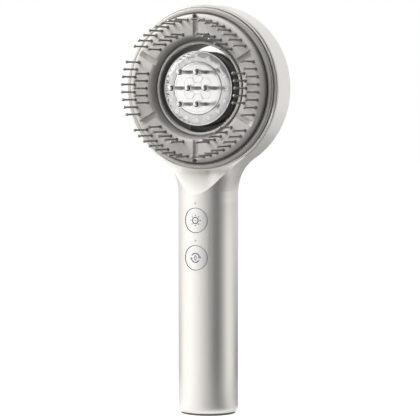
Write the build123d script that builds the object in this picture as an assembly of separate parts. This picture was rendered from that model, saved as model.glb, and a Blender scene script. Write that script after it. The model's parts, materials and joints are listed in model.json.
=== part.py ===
from build123d import *
import math
import os

# Hand-held electric scalp massager: a round handle that widens into a ring-shaped head. A comb ring of
# bristle pads sits on the head by magnets, and a round head with a light ring and metal contacts floats on
# rubber mounts in the middle of the ring. Millimetres, +Z up, front = -Y, origin in the middle of the foot.

# ---- handle ----
HANDLE_R = 16.0             # outside of the round handle
WALL = 1.8                  # moulded wall of the housing
FOOT_H = 1.1                # dark foot under the handle
FOOT_MARGIN = 1.5           # foot inside the handle's outline
FOOT_BEVEL_W = 1.0          # bevel round the bottom of the handle
FOOT_BEVEL_H = 1.3

# ---- head ring ----
HEAD_Z = 173.5              # height of the head's axis
HEAD_R = 44.2               # outside of the head ring
HOLE_R = 23.3               # opening in the middle of the head ring
HEAD_FRONT_Y = -9.0         # flat front of the head
HEAD_BACK_Y = 11.3          # flat back of the head
HEAD_BACK_ROUND = 4.2       # rounding of the back edge
HEAD_FRONT_BEVEL = 0.4      # bevel of the front edge
BEZEL_T = 1.2               # front plate
SEAM_W = 0.3                # shadow gap between front plate and shell
SEAM_DEPTH = 0.4

# ---- neck ----
NECK_R = 22.6               # hollow curve from the handle's side to the head's rim
NECK_SINK = 0.04            # the curve ends this far inside the rim
NECK_FRONT_CORNER = 6.5     # rounding of the front corners where the neck enters the head
NECK_ROOT = 6.0             # length of neck buried in the head
NECK_STEPS = 6              # sections of the neck between handle and head
NECK_START_CORNER = 0.97    # share of the handle's radius that the corners of the neck start with
NECK_FRONT_EASE = 3.0       # how late the corners tighten towards the head, in front and at the back
NECK_BACK_EASE = 1.5
SIDE_ARC = 4.0              # half angle of the parts of the handle's circle that turn into flat sides
SCOOP_INSET = 5.2           # the front stays flat down to here inside the head's rim
SCOOP_R = 12.0              # and then bends forward,
SCOOP_SLOPE = 26.5          # to a straight slope down to the handle; degrees
SEAM_SLOPE = 31.0           # steeper behind the front plate, so that the plate thins out there

# ---- comb ring ----
COMB_MARGIN = 1.7           # rim of the head left bare round the comb ring
COMB_PLATE_T = 0.8
COMB_RIM_W = 2.4            # raised outer rim
COMB_RIM_H = 2.8
COMB_RIM_BEVEL = 0.8
COMB_LIP_W = 1.6            # raised inner lip
COMB_LIP_H = 2.5
COMB_LIP_BEVEL = 0.4
PAD_COUNT = 6
PAD_H = 5.9                 # above the comb's plate
GROOVE_FLOOR_W = 2.4        # radial grooves between the pads, with a little draft
GROOVE_TOP_W = 3.2
PAD_SHOULDER_R = 3.4        # rounded outer shoulder of a pad
PAD_IN_FLANK = 1.6          # width of the steep inner flank
PAD_IN_FOOT_H = 0.7
RIM_TO_PAD = 0.2            # slits between pads and rim, and pads and lip
LIP_TO_PAD = 0.5
BRISTLE_SIDES = 6
BRISTLE_R = 0.48
BRISTLE_KNOB_R = 0.80
BRISTLE_KNOB_H = 0.8
BRISTLE_TIP_R = 0.82
BRISTLE_TIP_H = 1.3
OUTER_ROW_INSET = 0.3       # rows of bristles from the edges of a pad's flat top
OUTER_BRISTLE_L = 14.8
OUTER_BRISTLES = 8          # on each pad
OUTER_STEP = 6.43           # degrees
INNER_ROW_INSET = 2.1
INNER_BRISTLE_L = 14.3
INNER_BRISTLES = 5
INNER_STEP = 7.7
STUD_R = 1.1                # short studs at the outer ends of the two upright grooves
STUD_ROW_INSET = 1.9        # from the outer edge of the pads
STUD_L = 8.4                # above the comb's plate, with the dome
MAGNET_SIDE = 5.0
MAGNET_T = 2.0
MAGNET_POST_WALL = 1.0

# ---- floating head ----
RING_GAP = 3.5              # air between head ring and floating head
MODULE_FRONT_Y = -13.3
TRIM_T = 0.8                # bright ring at the front edge
TRIM_W = 0.8
LIGHT_RING_SINK = 0.3       # light ring and contact plate lie this far behind the front edge
LIGHT_RING_T = 1.1
CONTACT_PLATE_SINK = 0.2
LIGHT_RING_W = 5.1
LENS_COUNT = 16
LENS_SIDES = 8
LENS_R = 1.35
LENS_TOP_R = 0.95
LENS_H = 0.3
LENS_INSET = 2.1            # middles of the lenses from the outer edge of the light ring
LED_SIDE = 2.0
LED_T = 0.7
LED_BOARD_T = 1.0
PIN_SIDES = 8
PIN_INSET = 4.2             # outer contacts from the edge of the contact plate
PIN_L = 13.2                # from the front edge of the floating head to the tip
PIN_SHAFT_R = 1.0
PIN_COLLAR_R = 2.05
PIN_COLLAR_T = 0.6
PIN_CONE_L = 1.2            # cone between shaft and collar
PIN_DOME_R = 1.5
PIN_DOME_SKIRT = 0.4
FRAME_FLANGE_T = 0.8
SKIRT_T = 1.0
SKIRT_L = 11.8              # behind the LED board
CRADLE_T = 1.0
FLOAT_TRAVEL = 1.5          # how far the floating head can be pressed in

# ---- massage motor, its shaft across the floating head ----
MOTOR_R = 4.8
MOTOR_X0 = -9.0
MOTOR_X1 = 5.0
MOTOR_TO_CRADLE = 1.0
SADDLE_X0 = -6.0
SADDLE_X1 = 3.0
SADDLE_HALF_W = 5.8
SHAFT_R = 0.75
SHAFT_DEPTH = 6.0           # length of shaft inside the motor
WEIGHT_R = 4.4
WEIGHT_TO_MOTOR = 1.0
WEIGHT_L = 5.0
WEIGHT_HUB_R = 1.8

# ---- fixed cup behind the floating head ----
CUP_STEP = 0.4              # sleeve and cup lie this far inside the floating head's edge
CUP_T = 1.7
CUP_FRONT_Y = 1.0
CUP_FLOOR_T = 2.2
CUP_BACK_ROUND = 2.6        # in two facets
BELLOWS_FOLDS = 5
BELLOWS_DEPTH = 0.9
BELLOWS_T = 1.6
RUBBER_COUNT = 3
RUBBER_INSET = 6.7          # middles of the mounts from the wall of the cup
RUBBER_R = 3.0
RUBBER_SQUEEZED_H = 1.7     # height of a mount when the floating head is pressed in
ARM_HALF_W = 8.3
ARM_T = 10.0
ARM_TO_BACK = 2.0           # the arm's back lies this far in front of the cup's back
ARM_END = 3.0               # arm beyond its screws
ARM_GAP = 0.5               # between the arm and the bellows
ARM_SCREW_X = 5.0
ARM_SCREW_INSET = 4.4       # screws beyond the wall round the hole
SCREW_SIDES = 8
SCREW_R = 1.2
SCREW_HEAD_R = 2.3
SCREW_HEAD_T = 1.5
ARM_BOSS_R = 2.8
RIBBON_W = 6.0
RIBBON_T = 0.4
RIBBON_TAIL = 2.0           # ribbon inside the cup
RIBBON_EXIT = 1.0           # straight beyond the arm
RIBBON_BEND = 7.0           # drop over which it bends forward
RIBBON_LAP = 3.0            # on the back of the main board

# ---- buttons and lights on the handle ----
BUTTON_DROP = 15.2          # upper button below the top of the straight handle
BUTTON_PITCH = 19.8
BUTTON_R = 6.5
BUTTON_T = 2.6
BUTTON_GAP = 0.2
BUTTON_TRAVEL = 0.5
WELL_WALL = 1.0
WELL_FLOOR_T = 1.1
STEM_SIDES = 8
STEM_R = 2.0
GASKET_T = 0.5
GASKET_HALF_W = 6.0
GASKET_END = 7.0            # gasket beyond the buttons' middles
PLUNGER_R = 1.4
SWITCH_SIDE = 6.0
SWITCH_T = 1.6
LIGHT_PIPE_R = 0.5
LIGHT_PIPE_RISE = 9.1       # each light sits this far above its button
LAMP_T = 1.0

# ---- inside the handle ----
BOARD_T = 1.2
BOARD_Z0 = 7.0
BOARD_END = 0.9             # board beyond the upper light
BORE_END = 1.2              # hollow beyond the board
CELL_TO_BOARD = 2.1         # air between cell and board, for the parts on the board's back
CELL_L = 65.0
CONTACT_T = 1.0
CONTACT_HALF_W = 4.0
CHASSIS_T = 1.4
CHASSIS_END_T = 2.0
CHASSIS_END = 6.2           # chassis beyond the upper button
RIB_T = 2.0
RIB_PLACES = 0.25, 0.75     # shares of the cell's length
BOARD_SCREW_R = 0.8
BOARD_SCREW_HEAD_R = 1.6
BOARD_SCREW_HEAD_T = 0.8
BOARD_SCREW_L = 5.0
CHIP_SIDE = 6.0
CHIP_T = 1.0
COIL_SIDE = 5.0
COIL_T = 2.2
PLUG_H = 5.3                # plug of the foot inside the handle
SEAL_W = 1.1
SEAL_H = 1.4
SEAL_Z = 3.3
USB_W = 9.0
USB_H = 3.2
USB_FLAT = 0.32             # straight part of its short sides
USB_SHELL_T = 0.3
USB_Z0 = 0.5
USB_L = 9.0
USB_TONGUE_W = 6.7
USB_TONGUE_T = 0.7
USB_BACK_T = 1.0

# ---- clearances ----
SLIDE_GAP = 0.3             # between pieces that slide past each other
FIT_GAP = 0.1               # between pieces that drop into each other
SHAFT_GAP = 0.05            # round the motor's shaft

# ---- derived places ----
FAR = 80.0                  # past every surface of the object
CUT = 1.0                   # how far a cut runs past the surface it opens
ARC_MIDDLE = 1 - math.sqrt(0.5)   # share of an arc's radius by which its middle clears the corner
FOOT_R = HANDLE_R - FOOT_MARGIN
NECK_BASE_DROP = math.sqrt((HEAD_R + NECK_R - NECK_SINK) ** 2 - (HANDLE_R + NECK_R) ** 2)
NECK_BASE_Z = HEAD_Z - NECK_BASE_DROP
NECK_TOP_Z = HEAD_Z - NECK_BASE_DROP * HEAD_R / (HEAD_R + NECK_R)
SEAM_Y = HEAD_FRONT_Y + BEZEL_T
HEAD_FLOOR_Y = HEAD_BACK_Y - WALL

COMB_R = HEAD_R - COMB_MARGIN
COMB_FLOOR_Y = HEAD_FRONT_Y - COMB_PLATE_T
PAD_OUT_R = COMB_R - COMB_RIM_W - RIM_TO_PAD
PAD_IN_R = HOLE_R + COMB_LIP_W + LIP_TO_PAD
PAD_TOP_Y = COMB_FLOOR_Y - PAD_H
OUTER_ROW_R = PAD_OUT_R - PAD_SHOULDER_R - OUTER_ROW_INSET
INNER_ROW_R = PAD_IN_R + PAD_IN_FLANK + INNER_ROW_INSET
MAGNET_ROW_R = (HEAD_R + HOLE_R) / 2

MODULE_R = HOLE_R - RING_GAP
FRAME_IN_R = MODULE_R - TRIM_W
CONTACT_PLATE_R = FRAME_IN_R - LIGHT_RING_W
LENS_ROW_R = FRAME_IN_R - LENS_INSET
PIN_PITCH = CONTACT_PLATE_R - PIN_INSET
CUP_R = MODULE_R - CUP_STEP
CUP_IN_R = CUP_R - CUP_T
SKIRT_R = CUP_IN_R - SLIDE_GAP
RUBBER_ROW_R = CUP_IN_R - RUBBER_INSET
RUBBER_H = FLOAT_TRAVEL + RUBBER_SQUEEZED_H
LIGHT_RING_Y = MODULE_FRONT_Y + LIGHT_RING_SINK
LED_FRONT_Y = LIGHT_RING_Y + LIGHT_RING_T
BOARD_Y0 = LED_FRONT_Y + LED_T
BOARD_Y1 = BOARD_Y0 + LED_BOARD_T
FLANGE_BACK_Y = BOARD_Y1 + FRAME_FLANGE_T
SKIRT_END_Y = BOARD_Y1 + SKIRT_L
CRADLE_BACK_Y = SKIRT_END_Y + CRADLE_T
MOTOR_Y = SKIRT_END_Y - MOTOR_TO_CRADLE - MOTOR_R
WEIGHT_X0 = MOTOR_X1 + WEIGHT_TO_MOTOR
WEIGHT_X1 = WEIGHT_X0 + WEIGHT_L
CUP_FLOOR_Y = CRADLE_BACK_Y + RUBBER_H
CUP_BACK_Y = CUP_FLOOR_Y + CUP_FLOOR_T
ARM_BACK_Y = CUP_BACK_Y - ARM_TO_BACK
ARM_FRONT_Y = ARM_BACK_Y - ARM_T
ARM_SCREW_DROP = HOLE_R + WALL + ARM_SCREW_INSET
ARM_REACH = ARM_SCREW_DROP + ARM_END

LIGHT_BUTTON_Z = NECK_BASE_Z - BUTTON_DROP
MASSAGE_BUTTON_Z = LIGHT_BUTTON_Z - BUTTON_PITCH
BUTTON_BACK_Y = BUTTON_T - HANDLE_R
WELL_FLOOR_Y = BUTTON_BACK_Y + BUTTON_TRAVEL + FIT_GAP
GASKET_Y = WELL_FLOOR_Y + WELL_FLOOR_T
STEM_END_Y = GASKET_Y + GASKET_T
SWITCH_FRONT_Y = STEM_END_Y + BUTTON_TRAVEL + FIT_GAP
BOARD_FRONT_Y = SWITCH_FRONT_Y + SWITCH_T
BOARD_BACK_Y = BOARD_FRONT_Y + BOARD_T

BORE_R = HANDLE_R - WALL
BOARD_HALF_W = math.sqrt((BORE_R - SLIDE_GAP) ** 2 - BOARD_FRONT_Y ** 2)
BOARD_Z1 = LIGHT_BUTTON_Z + LIGHT_PIPE_RISE + BOARD_END
BORE_TOP_Z = BOARD_Z1 + BORE_END
CHASSIS_R = BORE_R - 2 * FIT_GAP
CHASSIS_IN_R = CHASSIS_R - CHASSIS_T
CHASSIS_Z0 = USB_Z0 + USB_L + SLIDE_GAP
CHASSIS_Z1 = LIGHT_BUTTON_Z + CHASSIS_END
CELL_R = (CHASSIS_IN_R - FIT_GAP - BOARD_BACK_Y - CELL_TO_BOARD) / 2
CELL_Y = CHASSIS_IN_R - FIT_GAP - CELL_R
CELL_Z0 = CHASSIS_Z0 + CHASSIS_END_T + CONTACT_T
CELL_Z1 = CELL_Z0 + CELL_L
PLUG_R = BORE_R - FIT_GAP
USB_Y = BOARD_BACK_Y + USB_H / 2
USB_CORNER_R = (USB_H - USB_FLAT) / 2

NODES = {}


def turned(*outline):
    """Solid turned about the head's axis from a closed outline of (radius, y) points."""
    return revolve(make_face(Polyline(*outline, close=True)), Axis.Y)


def tube(r_out, r_in, y0, y1):
    """Tube, washer or disc about the head's axis."""
    return turned((r_in, y0), (r_out, y0), (r_out, y1), (r_in, y1))


def upright(*outline):
    """Solid turned about the handle's axis from a closed outline of (radius, z) points."""
    return revolve(make_face(Plane.XZ * Polyline(*outline, close=True)), Axis.Z)


def pillar(r, z0, z1, y=0.0):
    """Round bar along Z."""
    return Pos(0, y, (z0 + z1) / 2) * Cylinder(r, z1 - z0)


def rod(x, z, r, y0, y1):
    """Round bar along Y."""
    return Pos(x, (y0 + y1) / 2, z) * Rot(90, 0, 0) * Cylinder(r, abs(y1 - y0))


def faceted(sides, *stations):
    """Small straight piece along Y with a polygon for its section, through (radius, y) stations."""
    facing_front = [Plane((0, y, 0), x_dir=(1, 0, 0), z_dir=(0, -1, 0)) for r, y in stations]
    rings = [plane * RegularPolygon(r, sides) for plane, (r, y) in zip(facing_front, stations)]
    return loft(rings, ruled=True)


def peg(x, z, r, y0, y1, sides=SCREW_SIDES):
    """Straight faceted bar along Y."""
    return Pos(x, 0, z) * faceted(sides, (r, max(y0, y1)), (r, min(y0, y1)))


def block(x0, x1, y0, y1, z0, z1):
    return Pos((x0 + x1) / 2, (y0 + y1) / 2, (z0 + z1) / 2) * Box(x1 - x0, abs(y1 - y0), z1 - z0)


def polar(r, angle):
    """(x, z) at an angle in degrees, clockwise from the top."""
    return r * math.sin(math.radians(angle)), r * math.cos(math.radians(angle))


def turn(angle):
    """Rotation about the head's axis, clockwise as seen from the front."""
    return Rot(0, angle, 0)


def at_head(shape):
    """Lift what is built about the origin to the head's axis."""
    return Pos(0, 0, HEAD_Z) * shape


def keep(name, *shapes):
    """A node of one or more separate solids."""
    found = [solid for shape in shapes for solid in shape.solids()]
    NODES[name] = found[0] if len(found) == 1 else Compound(children=found)


# ------------------------------------------------------------------ housing

def handle_circle(z):
    """The handle's circle in four short sides and four long corners, which match neck_section."""
    arcs = []
    for quarter in range(4):
        start = -90 - SIDE_ARC + 90 * quarter
        arcs.append(CenterArc((0, 0), HANDLE_R, start, 2 * SIDE_ARC))
        arcs.append(CenterArc((0, 0), HANDLE_R, start + 2 * SIDE_ARC, 90 - 2 * SIDE_ARC))
    return Pos(0, 0, z) * make_face(arcs)


def neck_section(t):
    """Rounded rectangle across the neck, t = 0 at the handle and 1 at the head's rim."""
    rise = (NECK_TOP_Z - NECK_BASE_Z) * t
    half = HANDLE_R + NECK_R - math.sqrt(NECK_R ** 2 - rise ** 2)
    ease = t * t * (3 - 2 * t)
    back = HANDLE_R + (HEAD_BACK_Y - HANDLE_R) * ease
    front = -HANDLE_R
    start_r = NECK_START_CORNER * HANDLE_R
    front_r = start_r + (NECK_FRONT_CORNER - start_r) * t ** NECK_FRONT_EASE
    back_r = start_r + (HEAD_BACK_ROUND - start_r) * t ** NECK_BACK_EASE
    outline = [
        Line((front_r - half, front), (half - front_r, front)),
        CenterArc((half - front_r, front + front_r), front_r, -90, 90),
        Line((half, front + front_r), (half, back - back_r)),
        CenterArc((half - back_r, back - back_r), back_r, 0, 90),
        Line((half - back_r, back), (back_r - half, back)),
        CenterArc((back_r - half, back - back_r), back_r, 90, 90),
        Line((-half, back - back_r), (-half, front + front_r)),
        CenterArc((front_r - half, front + front_r), front_r, 180, 90),
    ]
    return Pos(0, 0, NECK_BASE_Z + rise) * make_face(outline)


def front_scoop(face_y, slope):
    """All that lies in front of the plane y = face_y, whose lower end bends forward into a straight slope."""
    turn_z = HEAD_Z - HEAD_R + SCOOP_INSET
    top = HEAD_Z + FAR
    bend = CenterArc((face_y - SCOOP_R, turn_z), SCOOP_R, 0, -slope)
    slant = PolarLine(bend @ 1, FAR, -90 - slope)
    outline = [
        Line((face_y, top), (face_y, turn_z)),
        bend,
        slant,
        Polyline(slant @ 1, (-2 * FAR, (slant @ 1).Y), (-2 * FAR, top), (face_y, top)),
    ]
    return extrude(Plane.YZ * make_face(outline), FAR, both=True)


def head_disc():
    """Solid disc of the head, bevelled in front and rounded at the back."""
    round_r = HEAD_R - HEAD_BACK_ROUND
    round_y = HEAD_BACK_Y - HEAD_BACK_ROUND
    outline = [
        Line((0, HEAD_FRONT_Y), (HEAD_R - HEAD_FRONT_BEVEL, HEAD_FRONT_Y)),
        Line((HEAD_R - HEAD_FRONT_BEVEL, HEAD_FRONT_Y), (HEAD_R, HEAD_FRONT_Y + HEAD_FRONT_BEVEL)),
        Line((HEAD_R, HEAD_FRONT_Y + HEAD_FRONT_BEVEL), (HEAD_R, round_y)),
        CenterArc((round_r, round_y), HEAD_BACK_ROUND, 0, 90),
        Line((round_r, HEAD_BACK_Y), (0, HEAD_BACK_Y)),
        Line((0, HEAD_BACK_Y), (0, HEAD_FRONT_Y)),
    ]
    return at_head(revolve(make_face(outline), Axis.Y))


def outer_form():
    """Outside of handle, neck and head in one piece, with the ring's hole and the seat of the comb ring."""
    handle = upright((0, FOOT_H), (HANDLE_R - FOOT_BEVEL_W, FOOT_H),
                     (HANDLE_R, FOOT_H + FOOT_BEVEL_H), (HANDLE_R, NECK_BASE_Z), (0, NECK_BASE_Z))
    sections = [handle_circle(NECK_BASE_Z)] + [neck_section((i + 1) / NECK_STEPS) for i in range(NECK_STEPS)]
    root = extrude(sections[-1], NECK_ROOT)
    form = handle + loft(sections) + root + head_disc() - front_scoop(HEAD_FRONT_Y, SCOOP_SLOPE)
    form -= at_head(tube(COMB_R + FIT_GAP, 0, -FAR, HEAD_FRONT_Y))
    return form - at_head(tube(HOLE_R, 0, -FAR, FAR))


def button_places():
    return LIGHT_BUTTON_Z, MASSAGE_BUTTON_Z


def magnet_row(side, y0, y1):
    """Square blocks behind the middles of the pads."""
    one = block(-side / 2, side / 2, y0, y1, MAGNET_ROW_R - side / 2, MAGNET_ROW_R + side / 2)
    return [at_head(turn(360 / PAD_COUNT * (i + 0.5)) * one) for i in range(PAD_COUNT)]


def arm_screw_places():
    return (-ARM_SCREW_X, HEAD_Z - ARM_SCREW_DROP), (ARM_SCREW_X, HEAD_Z - ARM_SCREW_DROP)


def make_shell(form):
    shell = form - front_scoop(SEAM_Y, SEAM_SLOPE)
    # shadow gap along the seam on the rim of the head
    seam = at_head(tube(HEAD_R + CUT, HEAD_R - SEAM_DEPTH, SEAM_Y - CUT, SEAM_Y + SEAM_W))
    shell -= seam & block(-FAR, FAR, -FAR, FAR, NECK_TOP_Z, HEAD_Z + FAR)
    # hollow handle, channel up the neck and ring-shaped hollow of the head
    shell -= pillar(BORE_R, 0, BORE_TOP_Z)
    channel = ARM_HALF_W + WALL
    shell -= block(-channel, channel, ARM_FRONT_Y - FIT_GAP, HEAD_FLOOR_Y, BORE_TOP_Z - CUT,
                   HEAD_Z - HEAD_R + 2 * WALL)
    shell -= at_head(tube(HEAD_R - WALL, HOLE_R + WALL, SEAM_Y - CUT, HEAD_FLOOR_Y))
    # window for the arm in the wall round the hole
    window = ARM_HALF_W + FIT_GAP
    shell -= at_head(block(-window, window, ARM_FRONT_Y - FIT_GAP, ARM_BACK_Y + FIT_GAP,
                           -HOLE_R - WALL - CUT, -HOLE_R + WALL))
    # posts that carry the front plate and hold the magnets, bosses for the arm
    for post in magnet_row(MAGNET_SIDE + 2 * MAGNET_POST_WALL, SEAM_Y, HEAD_FLOOR_Y + WALL / 2):
        shell += post
    for pocket in magnet_row(MAGNET_SIDE + 2 * FIT_GAP, SEAM_Y - CUT, SEAM_Y + MAGNET_T):
        shell -= pocket
    for x, z in arm_screw_places():
        shell += rod(x, z, ARM_BOSS_R, ARM_BACK_Y, HEAD_FLOOR_Y + WALL / 2)
        shell -= peg(x, z, SCREW_R, ARM_BACK_Y - CUT, HEAD_FLOOR_Y)
    # wells of the buttons and holes of the lights
    inside = pillar(HANDLE_R - WALL / 4, 0, NECK_BASE_Z)
    for z in button_places():
        shell += rod(0, z, BUTTON_R + BUTTON_GAP + WELL_WALL, -HANDLE_R, GASKET_Y) & inside
        shell -= rod(0, z, BUTTON_R + BUTTON_GAP, -FAR, WELL_FLOOR_Y)
        shell -= peg(0, z, STEM_R + SLIDE_GAP, WELL_FLOOR_Y - CUT, GASKET_Y + CUT, STEM_SIDES)
        shell -= peg(0, z + LIGHT_PIPE_RISE, LIGHT_PIPE_R, -HANDLE_R - CUT, CUT - BORE_R)
    keep("body_shell", shell)


def make_bezel(form):
    keep("front_bezel", form & front_scoop(SEAM_Y, SEAM_SLOPE))
    keep("housing_magnets", *magnet_row(MAGNET_SIDE, SEAM_Y, SEAM_Y + MAGNET_T))


# ------------------------------------------------------------------ comb ring

def pad_groove():
    """Cutter for one upright groove above the head's axis, narrower at its floor than at the pads' tops."""
    floor = GROOVE_FLOOR_W / 2
    mouth = GROOVE_TOP_W / 2 + CUT * (GROOVE_TOP_W - GROOVE_FLOOR_W) / 2 / PAD_H
    outline = Polyline((-floor, HEAD_FRONT_Y), (floor, HEAD_FRONT_Y), (floor, COMB_FLOOR_Y),
                       (mouth, PAD_TOP_Y - CUT), (-mouth, PAD_TOP_Y - CUT), (-floor, COMB_FLOOR_Y), close=True)
    return extrude(make_face(outline), COMB_R)


def make_comb():
    rim_y = HEAD_FRONT_Y - COMB_RIM_H
    lip_y = HEAD_FRONT_Y - COMB_LIP_H
    rim_in = COMB_R - COMB_RIM_W
    lip_out = HOLE_R + COMB_LIP_W
    base = turned((HOLE_R, HEAD_FRONT_Y), (COMB_R, HEAD_FRONT_Y), (COMB_R, rim_y + COMB_RIM_BEVEL),
                  (COMB_R - COMB_RIM_BEVEL, rim_y), (rim_in + COMB_RIM_BEVEL, rim_y),
                  (rim_in, rim_y + COMB_RIM_BEVEL), (rim_in, COMB_FLOOR_Y), (lip_out, COMB_FLOOR_Y),
                  (lip_out, lip_y + COMB_LIP_BEVEL), (lip_out - COMB_LIP_BEVEL, lip_y), (HOLE_R, lip_y))
    keep("comb_base", at_head(base))
    shoulder = CenterArc((PAD_OUT_R - PAD_SHOULDER_R, PAD_TOP_Y + PAD_SHOULDER_R), PAD_SHOULDER_R, -90, 90)
    sides = Polyline(shoulder @ 1, (PAD_OUT_R, COMB_FLOOR_Y), (PAD_IN_R, COMB_FLOOR_Y),
                     (PAD_IN_R, COMB_FLOOR_Y - PAD_IN_FOOT_H), (PAD_IN_R + PAD_IN_FLANK, PAD_TOP_Y), shoulder @ 0)
    pads = revolve(make_face([shoulder, sides]), Axis.Y)
    for i in range(PAD_COUNT):
        pads -= turn(360 / PAD_COUNT * i) * pad_groove()
    pads = at_head(pads)
    for pocket in magnet_row(MAGNET_SIDE + 2 * FIT_GAP, COMB_FLOOR_Y + CUT, COMB_FLOOR_Y - MAGNET_T):
        pads -= pocket
    keep("comb_pads", pads)
    keep("comb_magnets", *magnet_row(MAGNET_SIDE, COMB_FLOOR_Y, COMB_FLOOR_Y - MAGNET_T))


def make_studs():
    """Two round posts with domed ends."""
    dome = STUD_L - STUD_R
    outline = [
        Line((0, 0), (STUD_R, 0)),
        Line((STUD_R, 0), (STUD_R, dome)),
        CenterArc((0, dome), STUD_R, 0, 90),
        Line((0, STUD_L), (0, 0)),
    ]
    stud = Pos(0, COMB_FLOOR_Y, 0) * Rot(90, 0, 0) * revolve(Plane.XZ * make_face(outline), Axis.Z)
    row_r = PAD_OUT_R - STUD_ROW_INSET
    keep("comb_studs", *[at_head(Pos(0, 0, side * row_r) * stud) for side in (1, -1)])


def bristle(length):
    """One bristle on the axis: a knob on the pad, a slender shaft and a ball tip."""
    tip_y = PAD_TOP_Y - length
    return faceted(BRISTLE_SIDES, (BRISTLE_KNOB_R, PAD_TOP_Y), (BRISTLE_R, PAD_TOP_Y - BRISTLE_KNOB_H),
                   (BRISTLE_R, tip_y + BRISTLE_TIP_H), (BRISTLE_TIP_R, tip_y + BRISTLE_TIP_H / 2),
                   (BRISTLE_R, tip_y))


def bristle_row(row_r, length, count, step):
    """The same arc of bristles on every pad."""
    one = bristle(length)
    row = []
    for pad in range(PAD_COUNT):
        middle = 360 / PAD_COUNT * (pad + 0.5)
        for i in range(count):
            x, z = polar(row_r, middle + (i - (count - 1) / 2) * step)
            row.append(at_head(Pos(x, 0, z) * one))
    return row


def make_bristles():
    keep("bristles_outer", *bristle_row(OUTER_ROW_R, OUTER_BRISTLE_L, OUTER_BRISTLES, OUTER_STEP))
    keep("bristles_inner", *bristle_row(INNER_ROW_R, INNER_BRISTLE_L, INNER_BRISTLES, INNER_STEP))


# ------------------------------------------------------------------ floating head

def pin_places():
    """One contact in the middle of six on a hexagon."""
    return [(0, 0)] + [polar(PIN_PITCH, 30 + 60 * i) for i in range(6)]


def contact_pin():
    """Slender shaft from the board, a cone up to a collar near its end and a domed tip."""
    tip_y = MODULE_FRONT_Y - PIN_L
    dome_y = tip_y + PIN_DOME_R
    collar_front = dome_y + PIN_DOME_SKIRT
    collar_back = collar_front + PIN_COLLAR_T
    shaft = peg(0, 0, PIN_SHAFT_R, BOARD_Y0, collar_back + PIN_CONE_L, PIN_SIDES)
    collar = faceted(PIN_SIDES, (PIN_SHAFT_R, collar_back + PIN_CONE_L), (PIN_COLLAR_R, collar_back),
                     (PIN_COLLAR_R, collar_front))
    dome = faceted(PIN_SIDES, (PIN_DOME_R, collar_front), (PIN_DOME_R, dome_y),
                   (PIN_DOME_R * math.sqrt(0.5), dome_y - PIN_DOME_R * math.sqrt(0.5)),
                   (PIN_DOME_R * ARC_MIDDLE, tip_y))
    return shaft + collar + dome


def make_floating_head():
    trim_back = MODULE_FRONT_Y + TRIM_T
    skirt_in = SKIRT_R - SKIRT_T
    keep("rim_trim", at_head(tube(MODULE_R, FRAME_IN_R, MODULE_FRONT_Y, trim_back)))
    frame = turned((FRAME_IN_R, trim_back), (MODULE_R, trim_back), (MODULE_R, FLANGE_BACK_Y),
                   (SKIRT_R, FLANGE_BACK_Y), (SKIRT_R, SKIRT_END_Y), (skirt_in, SKIRT_END_Y),
                   (skirt_in, BOARD_Y1), (FRAME_IN_R, BOARD_Y1))
    keep("head_frame", at_head(frame))

    ring = tube(FRAME_IN_R - FIT_GAP, CONTACT_PLATE_R + FIT_GAP, LIGHT_RING_Y, LED_FRONT_Y)
    lens = faceted(LENS_SIDES, (LENS_R, LED_FRONT_Y), (LENS_R, LIGHT_RING_Y),
                   (LENS_TOP_R, LIGHT_RING_Y - LENS_H))
    led = block(-LED_SIDE / 2, LED_SIDE / 2, LED_FRONT_Y, BOARD_Y0,
                LENS_ROW_R - LED_SIDE / 2, LENS_ROW_R + LED_SIDE / 2)
    angles = [360 / LENS_COUNT * i for i in range(LENS_COUNT)]
    for angle in angles:
        x, z = polar(LENS_ROW_R, angle)
        ring += Pos(x, 0, z) * lens
    keep("light_ring", at_head(ring))
    keep("ring_leds", *[at_head(turn(angle) * led) for angle in angles])

    keep("led_board", at_head(tube(FRAME_IN_R - FIT_GAP, 0, BOARD_Y0, BOARD_Y1)))
    plate = tube(CONTACT_PLATE_R, 0, MODULE_FRONT_Y + CONTACT_PLATE_SINK, BOARD_Y0)
    for x, z in pin_places():
        plate -= peg(x, z, PIN_SHAFT_R + FIT_GAP, MODULE_FRONT_Y - CUT, BOARD_Y0 + CUT, PIN_SIDES)
    keep("contact_plate", at_head(plate))
    pin = contact_pin()
    keep("contact_pins", *[at_head(Pos(x, 0, z) * pin) for x, z in pin_places()])


def bar_x(r, x0, x1):
    """Round bar along X at the motor's axis."""
    return Pos((x0 + x1) / 2, MOTOR_Y, 0) * Rot(0, 90, 0) * Cylinder(r, x1 - x0)


def make_motor():
    cradle = tube(SKIRT_R, 0, SKIRT_END_Y, CRADLE_BACK_Y)
    cradle += block(SADDLE_X0, SADDLE_X1, MOTOR_Y, SKIRT_END_Y + CRADLE_T / 2, -SADDLE_HALF_W, SADDLE_HALF_W)
    cradle -= bar_x(MOTOR_R, SADDLE_X0 - CUT, SADDLE_X1 + CUT)
    keep("motor_cradle", at_head(cradle))
    shaft_end = MOTOR_X1 - SHAFT_DEPTH
    motor = bar_x(MOTOR_R, MOTOR_X0, MOTOR_X1) - bar_x(SHAFT_R + SHAFT_GAP, shaft_end, MOTOR_X1 + CUT)
    keep("massage_motor", at_head(motor))
    keep("motor_shaft", at_head(bar_x(SHAFT_R, shaft_end, WEIGHT_X1)))
    half = bar_x(WEIGHT_R, WEIGHT_X0, WEIGHT_X1) & block(0, FAR, -FAR, MOTOR_Y, -FAR, FAR)
    weight = half + bar_x(WEIGHT_HUB_R, WEIGHT_X0, WEIGHT_X1)
    weight -= bar_x(SHAFT_R, WEIGHT_X0 - CUT, WEIGHT_X1 + CUT)
    keep("eccentric_weight", at_head(weight))


# ------------------------------------------------------------------ cup, bellows and arm

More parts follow.
